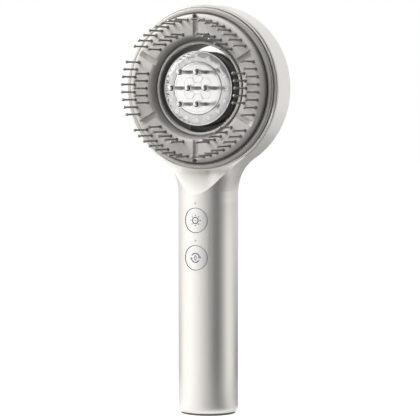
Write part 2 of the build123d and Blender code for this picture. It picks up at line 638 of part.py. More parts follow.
def make_cup():
    corner = CUP_BACK_ROUND * ARC_MIDDLE
    cup = turned((CUP_IN_R, CUP_FRONT_Y), (CUP_R, CUP_FRONT_Y), (CUP_R, CUP_BACK_Y - CUP_BACK_ROUND),
                 (CUP_R - corner, CUP_BACK_Y - corner), (CUP_R - CUP_BACK_ROUND, CUP_BACK_Y),
                 (0, CUP_BACK_Y), (0, CUP_FLOOR_Y), (CUP_IN_R, CUP_FLOOR_Y))
    arm = block(-ARM_HALF_W, ARM_HALF_W, ARM_FRONT_Y, ARM_BACK_Y, -ARM_REACH, -CUP_IN_R)
    arm -= tube(MODULE_R + ARM_GAP, 0, ARM_FRONT_Y - CUT, CUP_FRONT_Y)
    arm -= tube(CUP_R - CUP_T / 2, 0, CUP_FRONT_Y, ARM_BACK_Y + CUT)
    cup = at_head(cup + arm)
    # slot for the ribbon, from the cup's hollow down through the arm
    slot = RIBBON_W / 2 + FIT_GAP
    cup -= at_head(block(-slot, slot, CUP_FLOOR_Y - RIBBON_T - 2 * FIT_GAP, CUP_FLOOR_Y,
                         -ARM_REACH - CUT, CUT - CUP_IN_R))
    for x, z in arm_screw_places():
        cup -= peg(x, z, SCREW_R + FIT_GAP, ARM_FRONT_Y - CUT, ARM_BACK_Y + CUT)
    keep("module_cup", cup)

    places = [polar(RUBBER_ROW_R, 360 / RUBBER_COUNT * i) for i in range(RUBBER_COUNT)]
    keep("rubber_mounts", *[at_head(rod(x, z, RUBBER_R, CRADLE_BACK_Y, CUP_FLOOR_Y)) for x, z in places])
    screws = []
    for x, z in arm_screw_places():
        head = peg(x, z, SCREW_HEAD_R, ARM_FRONT_Y - SCREW_HEAD_T, ARM_FRONT_Y)
        screws.append(head + peg(x, z, SCREW_R, ARM_FRONT_Y, HEAD_FLOOR_Y))
    keep("arm_screws", *screws)


def make_bellows():
    """Folded rubber sleeve between the floating head's flange and the cup."""
    inside = CUP_R - BELLOWS_T
    pitch = (CUP_FRONT_Y - FLANGE_BACK_Y) / BELLOWS_FOLDS
    outline = [(inside, FLANGE_BACK_Y)]
    for i in range(BELLOWS_FOLDS):
        outline.append((CUP_R - BELLOWS_DEPTH, FLANGE_BACK_Y + pitch * i))
        outline.append((CUP_R, FLANGE_BACK_Y + pitch * (i + 0.5)))
    outline += [(CUP_R - BELLOWS_DEPTH, CUP_FRONT_Y), (inside, CUP_FRONT_Y)]
    keep("module_bellows", at_head(turned(*outline)))


def make_ribbon():
    """Flat ribbon from the cup, through the arm and down the neck to the top of the main board."""
    y = CUP_FLOOR_Y - RIBBON_T - FIT_GAP
    mid_y = ARM_FRONT_Y + 2 * FIT_GAP
    exit_z = HEAD_Z - ARM_REACH - RIBBON_EXIT
    path = [(y, HEAD_Z - CUP_IN_R + RIBBON_TAIL), (y, exit_z), (mid_y, exit_z - RIBBON_BEND),
            (mid_y, BORE_TOP_Z), (BOARD_BACK_Y, BOARD_Z1), (BOARD_BACK_Y, BOARD_Z1 - RIBBON_LAP)]
    behind = [(py + RIBBON_T, pz) for py, pz in reversed(path)]
    strip = make_face(Plane.YZ * Polyline(*path, *behind, close=True))
    keep("module_ribbon", extrude(strip, RIBBON_W / 2, both=True))


# ------------------------------------------------------------------ buttons and lights

def make_buttons():
    handle = pillar(HANDLE_R, 0, NECK_BASE_Z)
    for name, z in (("light", LIGHT_BUTTON_Z), ("massage", MASSAGE_BUTTON_Z)):
        cap = rod(0, z, BUTTON_R, -HANDLE_R - CUT, BUTTON_BACK_Y) & handle
        cap += peg(0, z, STEM_R, BUTTON_BACK_Y, STEM_END_Y, STEM_SIDES)
        keep(name + "_button", cap)
        plunger_end = BOARD_FRONT_Y - BUTTON_TRAVEL - 2 * FIT_GAP
        keep(name + "_plunger", peg(0, z, PLUNGER_R, STEM_END_Y, plunger_end))


def make_switches():
    gasket = block(-GASKET_HALF_W, GASKET_HALF_W, GASKET_Y, GASKET_Y + GASKET_T,
                   MASSAGE_BUTTON_Z - GASKET_END, LIGHT_BUTTON_Z + GASKET_END)
    switches, pipes, lamps = [], [], []
    half = SWITCH_SIDE / 2
    for z in button_places():
        top = z + LIGHT_PIPE_RISE
        gasket -= peg(0, z, STEM_R + FIT_GAP, GASKET_Y - CUT, GASKET_Y + GASKET_T + CUT, STEM_SIDES)
        gasket -= peg(0, top, LIGHT_PIPE_R + FIT_GAP, GASKET_Y - CUT, GASKET_Y + GASKET_T + CUT)
        switches.append(block(-half, half, SWITCH_FRONT_Y, BOARD_FRONT_Y, z - half, z + half)
                        - peg(0, z, PLUNGER_R + FIT_GAP, SWITCH_FRONT_Y - CUT, BOARD_FRONT_Y - FIT_GAP))
        pipes.append(peg(0, top, LIGHT_PIPE_R, -HANDLE_R, BOARD_FRONT_Y - LAMP_T))
        lamps.append(block(-LIGHT_PIPE_R, LIGHT_PIPE_R, BOARD_FRONT_Y - LAMP_T, BOARD_FRONT_Y,
                           top - LIGHT_PIPE_R, top + LIGHT_PIPE_R))
    keep("button_gasket", gasket)
    keep("tact_switches", *switches)
    keep("light_pipes", *pipes)
    keep("indicator_leds", *lamps)


# ------------------------------------------------------------------ inside the handle

def board_screw_heights():
    return CHASSIS_Z0 + CHASSIS_END_T / 2, CHASSIS_Z1 - CHASSIS_END_T / 2


def make_board():
    board = block(-BOARD_HALF_W, BOARD_HALF_W, BOARD_FRONT_Y, BOARD_BACK_Y, BOARD_Z0, BOARD_Z1)
    chip = block(-CHIP_SIDE / 2, CHIP_SIDE / 2, 0, CHIP_T, -CHIP_SIDE / 2, CHIP_SIDE / 2)
    coil = block(-COIL_SIDE / 2, COIL_SIDE / 2, 0, COIL_T, -COIL_SIDE / 2, COIL_SIDE / 2)
    board += Pos(0, BOARD_BACK_Y, LIGHT_BUTTON_Z - SWITCH_SIDE) * chip
    board += Pos(-SWITCH_SIDE, BOARD_BACK_Y, MASSAGE_BUTTON_Z + SWITCH_SIDE) * coil
    screws = []
    for z in board_screw_heights():
        board -= peg(0, z, BOARD_SCREW_R + FIT_GAP, BOARD_FRONT_Y - CUT, BOARD_BACK_Y + CUT)
        head = peg(0, z, BOARD_SCREW_HEAD_R, BOARD_FRONT_Y - BOARD_SCREW_HEAD_T, BOARD_FRONT_Y)
        screws.append(head + peg(0, z, BOARD_SCREW_R, BOARD_FRONT_Y, BOARD_FRONT_Y + BOARD_SCREW_L))
    keep("main_board", board)
    keep("board_screws", *screws)


def d_bar(r, y_cut, z0, z1):
    """Bar along the handle whose section is a circle cut off flat in front."""
    return pillar(r, z0, z1) & block(-FAR, FAR, y_cut, FAR, z0 - CUT, z1 + CUT)


def make_battery():
    cell = pillar(CELL_R, CELL_Z0, CELL_Z1, CELL_Y)
    keep("battery_cell", cell)
    keep("battery_contacts", *[block(-CONTACT_HALF_W, CONTACT_HALF_W, CELL_Y - CONTACT_HALF_W,
                                     CELL_Y + CONTACT_HALF_W, z, z + CONTACT_T)
                               for z in (CELL_Z0 - CONTACT_T, CELL_Z1)])
    wall_z = CELL_Z1 + CONTACT_T
    tray = d_bar(CHASSIS_R, BOARD_BACK_Y, CHASSIS_Z0, CHASSIS_Z1)
    tray -= d_bar(CHASSIS_IN_R, BOARD_BACK_Y - CUT, CHASSIS_Z0 + CHASSIS_END_T, wall_z)
    tray -= d_bar(CHASSIS_IN_R, BOARD_BACK_Y - CUT, wall_z + CHASSIS_END_T, CHASSIS_Z1 - CHASSIS_END_T)
    for share in RIB_PLACES:
        z = CELL_Z0 + CELL_L * share
        tray += d_bar(CHASSIS_IN_R + CHASSIS_T / 2, 0, z, z + RIB_T)
    tray -= cell
    for z in board_screw_heights():
        tray -= peg(0, z, BOARD_SCREW_R, BOARD_BACK_Y - CUT, BOARD_FRONT_Y + BOARD_SCREW_L)
    keep("battery_chassis", tray)


def make_base():
    groove_r = PLUG_R - SEAL_W
    plug_top = FOOT_H + PLUG_H
    cap = upright((0, 0), (FOOT_R, 0), (FOOT_R, FOOT_H), (PLUG_R, FOOT_H), (PLUG_R, SEAL_Z),
                  (groove_r, SEAL_Z), (groove_r, SEAL_Z + SEAL_H), (PLUG_R, SEAL_Z + SEAL_H),
                  (PLUG_R, plug_top), (0, plug_top))
    mouth = RectangleRounded(USB_W + 2 * FIT_GAP, USB_H + 2 * FIT_GAP, USB_CORNER_R + FIT_GAP)
    cap -= Pos(0, USB_Y, 0) * extrude(mouth, FOOT_H + 2 * PLUG_H, both=True)
    keep("base_cap", cap)
    keep("base_seal", upright((groove_r, SEAL_Z), (BORE_R, SEAL_Z), (BORE_R, SEAL_Z + SEAL_H),
                              (groove_r, SEAL_Z + SEAL_H)))
    can = extrude(RectangleRounded(USB_W, USB_H, USB_CORNER_R), USB_L)
    room = RectangleRounded(USB_W - 2 * USB_SHELL_T, USB_H - 2 * USB_SHELL_T, USB_CORNER_R - USB_SHELL_T)
    can -= extrude(room, USB_L - USB_BACK_T)
    can += block(-USB_TONGUE_W / 2, USB_TONGUE_W / 2, -USB_TONGUE_T / 2, USB_TONGUE_T / 2,
                 USB_BACK_T, USB_L - USB_BACK_T / 2)
    keep("usb_socket", Pos(0, USB_Y, USB_Z0) * can)


def main():
    form = outer_form()
    make_shell(form)
    make_bezel(form)
    make_comb()
    make_studs()
    make_bristles()
    make_floating_head()
    make_motor()
    make_cup()
    make_bellows()
    make_ribbon()
    make_buttons()
    make_switches()
    make_board()
    make_battery()
    make_base()
    os.makedirs("parts", exist_ok=True)
    for name, shape in NODES.items():
        export_step(shape, "parts/" + name + ".step")


main()
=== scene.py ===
import json
import math

import bmesh
import bpy
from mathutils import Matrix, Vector


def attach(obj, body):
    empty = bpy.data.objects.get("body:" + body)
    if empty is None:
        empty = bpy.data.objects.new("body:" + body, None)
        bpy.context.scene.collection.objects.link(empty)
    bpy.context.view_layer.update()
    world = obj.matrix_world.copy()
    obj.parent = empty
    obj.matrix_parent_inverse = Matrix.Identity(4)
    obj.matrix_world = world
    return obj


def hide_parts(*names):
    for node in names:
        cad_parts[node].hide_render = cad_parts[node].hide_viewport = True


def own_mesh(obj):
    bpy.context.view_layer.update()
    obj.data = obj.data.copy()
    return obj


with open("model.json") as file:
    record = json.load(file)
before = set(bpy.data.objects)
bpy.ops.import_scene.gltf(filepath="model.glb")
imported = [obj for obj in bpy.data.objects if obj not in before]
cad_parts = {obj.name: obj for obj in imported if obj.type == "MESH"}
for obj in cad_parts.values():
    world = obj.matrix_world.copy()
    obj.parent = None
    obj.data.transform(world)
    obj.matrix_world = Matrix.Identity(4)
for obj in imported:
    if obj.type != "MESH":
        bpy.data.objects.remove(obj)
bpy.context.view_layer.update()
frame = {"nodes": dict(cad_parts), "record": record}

# Looks of the electric scalp massager. Lengths are in millimetres here, metres in the meshes; front = -Y.
MM = 0.001
nodes = frame["nodes"]

HANDLE_R = 16.0
HEAD_Z = 173.5
HOLE_R = 23.3
HEAD_FRONT_Y = -9.0
HEAD_R = 44.2

COMB_R = 42.5
COMB_RIM_W = 2.9
COMB_RIM_Y = -11.8
COMB_LIP_W = 1.6
COMB_LIP_Y = -11.5
COMB_FLOOR_Y = -9.8
COMB_GAP_Y = -9.7                       # its outer edge stands clear of the housing from here
COMB_SEAT_R = COMB_R - 1.3
PAD_TOP_Y = -15.7
PAD_IN_R = 25.4
PAD_OUT_R = 39.2
PAD_SHOULDER_R = 2.3
PAD_IN_FLANK = 2.3
PAD_IN_FOOT = 0.7
GROOVE_FLOOR = 2.4
GROOVE_TOP = 3.2
GROOVE_DEPTH = 1.5
GROOVE_END_R = 35.4
OUTER_ROW = (36.2, 14.8, 8, 6.43)       # radius, length, bristles on a pad, degrees apart
INNER_ROW = (29.1, 14.3, 5, 7.7)
BALL_R = 0.85
SHAFT_R = 0.5
STUD_R = 1.1
STUD_L = 8.4
STUD_ROW_R = 38.0

MODULE_R = 19.8
FRAME_IN_R = 19.0
SHOULDER_R = 16.7
LIGHT_RING_Y = -13.0
LED_FRONT_Y = -11.9
PLATE_R = 13.9
PLATE_FRONT_Y = -13.1
PLATE_BACK_Y = -11.2
FLANGE_BACK_Y = -9.4
LENS_ROW_R = 16.9
HEXAGON_FLAT_R = 2.62
PIN_PITCH = 9.7
PIN_TIP_Y = -26.5
CUP_R = 19.4
CUP_FRONT_Y = 1.0
CRADLE_BACK_Y = 2.6
CUP_FLOOR_Y = 5.8
MOUNT_R = 3.0
MOUNT_WAIST_R = 2.5
MOUNT_ROW_R = 11.0

BUTTON_R = 6.5
BUTTON_BACK_Y = -13.4
STEM_END_Y = -11.2
BUTTON_DOME = 0.15                      # fall of its face at BUTTON_FACE_R
BUTTON_FACE_R = 6.0
STEM_R = 2.0
BUTTONS = (("light", 103.83), ("massage", 84.03))


# ------------------------------------------------------------------ materials

def add(tree, kind, operation=None, **values):
    """A shader node with some of its inputs filled in by name or number."""
    node = tree.nodes.new("ShaderNode" + kind)
    if operation:
        node.operation = operation
    for key, value in values.items():
        node.inputs[int(key[1:]) if key[1:].isdigit() else key.replace("_", " ")].default_value = value
    return node


def math_node(tree, operation, first, second=0.0):
    node = add(tree, "Math", operation)
    for socket, value in zip(node.inputs, (first, second)):
        if isinstance(value, (int, float)):
            socket.default_value = value
        else:
            tree.links.new(value, socket)
    return node.outputs[0]


def ramp(tree, factor, stops, interpolation="LINEAR"):
    """Colours or grey levels along a factor from 0 to 1."""
    node = tree.nodes.new("ShaderNodeValToRGB")
    node.color_ramp.interpolation = interpolation
    elements = node.color_ramp.elements
    made = [elements[0], *[elements.new(place) for place, _ in stops[1:-1]], elements[-1]]
    made[0].position, made[-1].position = stops[0][0], stops[-1][0]
    for element, (place, colour) in zip(sorted(elements, key=lambda e: e.position), stops):
        if isinstance(colour, (int, float)):
            colour = (colour, colour, colour)
        element.color = (*colour, 1.0)
    tree.links.new(factor, node.inputs[0])
    return node.outputs[0]


def shade(colour, share):
    return tuple(min(1.0, c * share) for c in colour)


def surface(name, colour, rough, metallic=0.0, vary=0.04, rough_vary=0.05, grain=0.5, relief=0.004,
            mottle=8.0, stops=None, **sockets):
    """Moulded, painted or metal surface: fine grain of `grain` mm with a relief in mm, and a broad mottle of
    `mottle` mm that shifts its colour and gloss a little. `stops` are (y in mm, colour share) along Y: painted
    light and shade that lightens or darkens the colour with depth."""
    mat = bpy.data.materials.new(name)
    mat.use_nodes = True
    tree = mat.node_tree
    shader = tree.nodes["Principled BSDF"]
    place = tree.nodes.new("ShaderNodeTexCoord").outputs["Object"]
    fine = add(tree, "TexNoise", Scale=1 / (grain * MM), Detail=3.0)
    broad = add(tree, "TexNoise", Scale=1 / (mottle * MM), Detail=2.0)
    tree.links.new(place, fine.inputs["Vector"])
    tree.links.new(place, broad.inputs["Vector"])
    both = math_node(tree, "ADD", math_node(tree, "MULTIPLY", fine.outputs[0], 0.5),
                     math_node(tree, "MULTIPLY", broad.outputs[0], 0.5))
    tone = ramp(tree, both, [(0.3, shade(colour, 1 - vary)), (0.7, shade(colour, 1 + vary))])
    # Painted light and shade: the colour is scaled along Y by the stops.
    if stops:
        axes = tree.nodes.new("ShaderNodeSeparateXYZ")
        tree.links.new(place, axes.inputs[0])
        along = add(tree, "MapRange", From_Min=stops[0][0] * MM, From_Max=stops[-1][0] * MM)
        tree.links.new(axes.outputs["Y"], along.inputs[0])
        span = stops[-1][0] - stops[0][0]
        shares = ramp(tree, along.outputs[0], [((y - stops[0][0]) / span, share) for y, share in stops])
        mix = tree.nodes.new("ShaderNodeMix")
        mix.data_type = "RGBA"
        mix.blend_type = "MULTIPLY"
        mix.inputs[0].default_value = 1.0
        tree.links.new(tone, mix.inputs[6])
        tree.links.new(shares, mix.inputs[7])
        tone = mix.outputs[2]
    tree.links.new(tone, shader.inputs["Base Color"])
    gloss = add(tree, "MapRange", From_Min=0.3, From_Max=0.7, To_Min=max(0.02, rough - rough_vary),
                To_Max=rough + rough_vary)
    tree.links.new(both, gloss.inputs[0])
    tree.links.new(gloss.outputs[0], shader.inputs["Roughness"])
    if relief:
        bump = add(tree, "Bump", Strength=1.0, Distance=relief * MM)
        tree.links.new(fine.outputs[0], bump.inputs["Height"])
        tree.links.new(bump.outputs[0], shader.inputs["Normal"])
    shader.inputs["Metallic"].default_value = metallic
    for key, value in sockets.items():
        shader.inputs[key.replace("_", " ")].default_value = value
    return mat


def lined(mat):
    """Dark matt lining on the wall of the ring's hole, in the housing's own paint material."""
    tree = mat.node_tree
    shader = tree.nodes["Principled BSDF"]
    place = tree.nodes.new("ShaderNodeTexCoord").outputs["Object"]
    shift = add(tree, "VectorMath", "SUBTRACT", _1=(0.0, 0.0, HEAD_Z * MM))
    flat = add(tree, "VectorMath", "MULTIPLY", _1=(1.0, 0.0, 1.0))
    length = add(tree, "VectorMath", "LENGTH")
    tree.links.new(place, shift.inputs[0])
    tree.links.new(shift.outputs[0], flat.inputs[0])
    tree.links.new(flat.outputs[0], length.inputs[0])
    inside = math_node(tree, "LESS_THAN", length.outputs["Value"], (HOLE_R + 0.15) * MM)
    mix = tree.nodes.new("ShaderNodeMix")
    mix.data_type = "RGBA"
    tree.links.new(inside, mix.inputs[0])
    tree.links.new(shader.inputs["Base Color"].links[0].from_socket, mix.inputs[6])
    mix.inputs[7].default_value = (0.115, 0.107, 0.096, 1)
    tree.links.new(mix.outputs[2], shader.inputs["Base Color"])
    dull = math_node(tree, "MULTIPLY", inside, 0.3)
    gloss = math_node(tree, "ADD", shader.inputs["Roughness"].links[0].from_socket, dull)
    tree.links.new(gloss, shader.inputs["Roughness"])
    share = math_node(tree, "SUBTRACT", 1.0, inside)
    tree.links.new(math_node(tree, "MULTIPLY", share, shader.inputs["Metallic"].default_value),
                   shader.inputs["Metallic"])
    return mat


def circuit_board(name):
    """Green solder mask over copper traces, with pale solder pads."""
    mat = surface(name, (0.03, 0.17, 0.07), 0.35, grain=0.3, relief=0.01, Coat_Weight=0.3)
    tree = mat.node_tree
    shader = tree.nodes["Principled BSDF"]
    place = tree.nodes.new("ShaderNodeTexCoord").outputs["Object"]
    traces = add(tree, "TexBrick", Scale=420.0, Mortar_Size=0.03, Bias=-0.2)
    turned_place = add(tree, "Mapping", Rotation=(math.pi / 2, 0, 0))
    tree.links.new(place, turned_place.inputs[0])
    tree.links.new(turned_place.outputs[0], traces.inputs["Vector"])
    traces.inputs["Color1"].default_value = (0.03, 0.17, 0.07, 1)
    traces.inputs["Color2"].default_value = (0.04, 0.21, 0.09, 1)
    traces.inputs["Mortar"].default_value = (0.12, 0.36, 0.14, 1)
    dots = add(tree, "TexVoronoi", Scale=260.0, Randomness=0.35)
    tree.links.new(turned_place.outputs[0], dots.inputs["Vector"])
    pads = ramp(tree, dots.outputs["Distance"], [(0.12, 1.0), (0.15, 0.0)])
    mix = tree.nodes.new("ShaderNodeMix")
    mix.data_type = "RGBA"
    tree.links.new(pads, mix.inputs[0])
    tree.links.new(traces.outputs["Color"], mix.inputs[6])
    mix.inputs[7].default_value = (0.62, 0.6, 0.55, 1)
    tree.links.new(mix.outputs[2], shader.inputs["Base Color"])
    return mat


MATERIALS = {
    "housing_paint": lined(surface("satin_champagne_paint", (0.785, 0.762, 0.725), 0.3, 0.82, vary=0.012,
                                   rough_vary=0.02, grain=0.25, relief=0.0012, mottle=30.0)),
    "comb_grey": surface("comb_plastic", (0.46, 0.445, 0.418), 0.26, 0.35, vary=0.03, grain=0.4, relief=0.002,
                         mottle=20.0),
    # The pads' colour darkens with depth, down their flanks and into the grooves: painted shade.
    "pad_grey": surface("pad_rubber", (0.505, 0.486, 0.459), 0.4, vary=0.03, grain=0.35, relief=0.004,
                        mottle=12.0, Sheen_Weight=0.1, Sheen_Roughness=0.4, Coat_Weight=0.12,
                        Coat_Roughness=0.35, stops=((-18.5, 1.03), (-15.2, 1.03), (-14.4, 0.92),
                                                    (-13.8, 0.64), (-12.5, 0.54), (-9.8, 0.45))),
    # Bristles are painted lighter at the ball tips as a painted highlight and darker at the roots as painted
    # shade.
    "bristle": surface("bristle_silicone", (0.25, 0.241, 0.225), 0.18, vary=0.04, grain=0.6, relief=0.0,
                       Transmission_Weight=0.3, IOR=1.45,
                       stops=((-30.6, 1.6), (-29.0, 1.1), (-17.0, 1.0), (-16.2, 0.7), (-15.2, 0.5))),
    "chrome": surface("polished_metal", (0.86, 0.86, 0.85), 0.06, 1.0, vary=0.01, rough_vary=0.02, grain=0.5,
                      relief=0.0003),
    "lens_plate": surface("frosted_light_cover", (0.56, 0.553, 0.535), 0.12, 0.7, vary=0.14, rough_vary=0.03,
                          grain=2.2, relief=0.02, mottle=3.0, Coat_Weight=0.5, Coat_Roughness=0.04),
    "black_rubber": surface("black_rubber", (0.15, 0.147, 0.14), 0.36, vary=0.2, grain=0.3, relief=0.01),
    "black_plastic": surface("black_plastic", (0.05, 0.049, 0.047), 0.32, vary=0.12, grain=0.35,
                             relief=0.008),
    "button_metal": surface("button_metal", (0.76, 0.75, 0.73), 0.2, 0.9, vary=0.012, rough_vary=0.03,
                            grain=0.25, relief=0.0008, mottle=10.0),
    "clear_pipe": surface("light_pipe", (0.5, 0.49, 0.47), 0.3, vary=0.05, grain=0.3, relief=0.002,
                          Transmission_Weight=0.3),
    "board_green": circuit_board("solder_mask"),
    "chip": surface("black_component", (0.06, 0.06, 0.062), 0.4, vary=0.15, grain=0.2, relief=0.006),
    "led": surface("led_package", (0.9, 0.87, 0.7), 0.3, vary=0.06, grain=0.3, relief=0.002, Coat_Weight=0.4),
    "magnet": surface("nickel_plate", (0.66, 0.66, 0.66), 0.22, 1.0, vary=0.05, grain=0.4, relief=0.002),
    "steel": surface("bright_steel", (0.6, 0.6, 0.61), 0.28, 1.0, vary=0.06, grain=0.3, relief=0.004),
    "cell_wrap": surface("cell_wrap", (0.06, 0.2, 0.46), 0.25, vary=0.06, grain=0.8, relief=0.008,
                         Coat_Weight=0.4),
    "chassis": surface("dark_moulding", (0.13, 0.13, 0.135), 0.45, vary=0.1, grain=0.3, relief=0.01),
    "ribbon": surface("amber_film", (0.5, 0.26, 0.08), 0.25, vary=0.08, grain=0.8, relief=0.004,
                      Coat_Weight=0.5),
    "mount_rubber": surface("damping_rubber", (0.17, 0.17, 0.17), 0.6, vary=0.1, grain=0.3, relief=0.012),
    "foot": surface("foot_plastic", (0.11, 0.107, 0.103), 0.42, vary=0.1, grain=0.3, relief=0.008),
}
ICON_INK = surface("icon_ink", (0.085, 0.082, 0.078), 0.4, vary=0.06, grain=0.2, relief=0.002)
PLATE_METAL = surface("contact_plate_metal", (0.79, 0.78, 0.76), 0.17, 0.9, vary=0.006, rough_vary=0.01,
                      grain=0.5, relief=0.0002, mottle=30.0)
ETCHED_METAL = surface("etched_line", (0.5, 0.49, 0.47), 0.4, 0.8, vary=0.03, grain=0.5, relief=0.0005)
BELLOWS_PITCH = (CUP_FRONT_Y - FLANGE_BACK_Y) / 5
# Each fold is painted lighter at its crest as a painted highlight and darker in its trough as painted shade.
BELLOWS_PAINTED_LIGHT = [(FLANGE_BACK_Y + BELLOWS_PITCH * (k + share), level) for k in range(5)
                 for share, level in ((0.0, 0.4), (0.3, 0.5), (0.5, 2.0), (0.7, 0.5))]
BELLOWS_RUBBER = surface("bellows_rubber", (0.42, 0.4, 0.37), 0.34, vary=0.15, grain=0.3, relief=0.01,
                         stops=BELLOWS_PAINTED_LIGHT)
SHAFT_METAL = surface("pin_shaft_metal", (0.6, 0.59, 0.57), 0.16, 1.0, vary=0.02, rough_vary=0.02, grain=0.5,
                      relief=0.0003)
TRIM_METAL = surface("trim_metal", (0.86, 0.855, 0.84), 0.3, 0.8, vary=0.01, rough_vary=0.02, grain=0.5,
                     relief=0.0003)
RING_EDGE = surface("light_cover_edge", (0.5, 0.495, 0.48), 0.02, 0.9, vary=0.03, rough_vary=0.0, grain=2.0,
                    relief=0.0, mottle=5.0)
LENS_CLEAR = surface("lens_clear", (0.64, 0.635, 0.62), 0.14, 0.6, vary=0.02, grain=0.5, relief=0.001,
                     Coat_Weight=1.0, Coat_Roughness=0.03)

for sub in frame["record"]["subparts"]:
    mesh = nodes[sub["node"]].data
    mesh.materials.clear()
    mesh.materials.append(MATERIALS[sub["material_slot"]])


# ------------------------------------------------------------------ building pieces

def piece(name, bm, slot, body, replaces=(), material=None, sharp=35):
    """Turn a bmesh in millimetres into a smooth-shaded piece that rides on a body."""
    bmesh.ops.recalc_face_normals(bm, faces=bm.faces)
    bmesh.ops.scale(bm, vec=(MM, MM, MM), verts=bm.verts)
    mesh = bpy.data.meshes.new(name)
    bm.to_mesh(mesh)
    bm.free()
    for polygon in mesh.polygons:
        polygon.use_smooth = True
    mesh.set_sharp_from_angle(angle=math.radians(sharp))
    mesh.materials.append(material or MATERIALS[slot])
    obj = bpy.data.objects.new(name, mesh)
    bpy.context.scene.collection.objects.link(obj)
    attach(obj, body)
    if replaces:
        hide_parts(*replaces)
    return obj


def rounded(*corners, steps=5):
    """Closed outline through (radius, y, rounding) corners, each replaced by an arc."""
    outline = []
    points = [Vector(corner[:2]) for corner in corners]
    for i, corner in enumerate(corners):
        here = points[i]
        if corner[2] == 0:
            outline.append(tuple(here))
            continue
        before = (points[i - 1] - here).normalized()
        after = (points[(i + 1) % len(points)] - here).normalized()
        half = before.angle(after) / 2
        centre = here + (before + after).normalized() * corner[2] / math.sin(half)
        start = here + before * corner[2] / math.tan(half) - centre
        end = here + after * corner[2] / math.tan(half) - centre
        sweep = start.angle(end)
        for k in range(steps + 1):
            t = k / steps
            arm = (start * math.sin((1 - t) * sweep) + end * math.sin(t * sweep)) / math.sin(sweep)
            outline.append(tuple(centre + arm))
    return outline


def turned(bm, outline, x=0.0, z=HEAD_Z, segments=192):
    """Body of revolution about an axis along Y through (x, z) from a (radius, y) outline."""
    rings = []
    for r, y in outline:
        count = segments if r > 1e-6 else 1
        rings.append([bm.verts.new((x + r * math.sin(2 * math.pi * i / segments), y,
                                    z + r * math.cos(2 * math.pi * i / segments))) for i in range(count)])
    for ring, other in zip(rings, rings[1:] + rings[:1]):
        if len(ring) == len(other) == 1:
            continue
        for i in range(segments):
            j = (i + 1) % segments
            corners = [ring[i % len(ring)], ring[j % len(ring)], other[j % len(other)], other[i % len(other)]]
            bm.faces.new(list(dict.fromkeys(corners)))


def grid(bm, rows, closed=False):
    """Faces between rows of points; returns the rows of vertices."""
    made = [[bm.verts.new(point) for point in row] for row in rows]
    for row, other in zip(made, made[1:]):
        last = len(row) if closed else len(row) - 1
        for i in range(last):
            j = (i + 1) % len(row)
            bm.faces.new((row[i], row[j], other[j], other[i]))
    return made


def polar(r, angle):
    """(x, z) at an angle in degrees, clockwise from the top."""
    return r * math.sin(math.radians(angle)), r * math.cos(math.radians(angle))


# ------------------------------------------------------------------ housing

def make_bezel_edge():
    """Narrow raised edge of the front plate, sloped on its outside, close round the comb ring."""
    bm = bmesh.new()
    turned(bm, rounded((HEAD_R - 1.3, HEAD_FRONT_Y + 0.1, 0.0), (HEAD_R - 1.25, HEAD_FRONT_Y - 0.85, 0.08),
                       (HEAD_R - 1.0, HEAD_FRONT_Y - 0.85, 0.08), (HEAD_R - 0.6, HEAD_FRONT_Y + 0.1, 0.0)))
    piece("bezel_edge", bm, "housing_paint", "housing")


# ------------------------------------------------------------------ comb ring

def make_comb_base():
    """Carrier ring with a raised outer rim and a lower inner lip."""
    bm = bmesh.new()
    turned(bm, rounded(
        (HOLE_R, HEAD_FRONT_Y, 0.0), (COMB_SEAT_R, HEAD_FRONT_Y, 0.0), (COMB_SEAT_R, COMB_GAP_Y, 0.05),
        (COMB_R, COMB_GAP_Y - 0.15, 0.1), (COMB_R, COMB_RIM_Y, 1.1), (COMB_R - COMB_RIM_W, COMB_RIM_Y, 1.3),
        (COMB_R - COMB_RIM_W, COMB_FLOOR_Y, 0.1), (HOLE_R + COMB_LIP_W, COMB_FLOOR_Y, 0.1),
        (HOLE_R + COMB_LIP_W, COMB_LIP_Y, 0.5), (HOLE_R, COMB_LIP_Y, 0.6), steps=6))
    piece("comb_base_rounded", bm, "comb_grey", "comb_ring", ["comb_base"])


def soft_min(values, softness):
    """Least of the values, with the change from one to the next rounded off."""
    low = min(values)
    return low - softness * math.log(sum(math.exp((low - v) / softness) for v in values))


def pad_height(r, left, right):
    """Height of a pad at a radius; `left` and `right` are the distances from the feet of its groove walls."""
    top = COMB_FLOOR_Y - PAD_TOP_Y
    past = min(max(r - (PAD_OUT_R - PAD_SHOULDER_R), 0.0), PAD_SHOULDER_R)
    outer = top - PAD_SHOULDER_R + math.sqrt(PAD_SHOULDER_R ** 2 - past ** 2)
    inner = PAD_IN_FOOT + (r - PAD_IN_R) * (top - PAD_IN_FOOT) / PAD_IN_FLANK
    wall = min(left, right) * 2 * top / (GROOVE_TOP - GROOVE_FLOOR)
    floor = top - GROOVE_DEPTH + 0.6 * max(0.0, r - GROOVE_END_R)
    return soft_min((soft_min((outer, inner), 0.4), max(wall, floor)), 0.12)


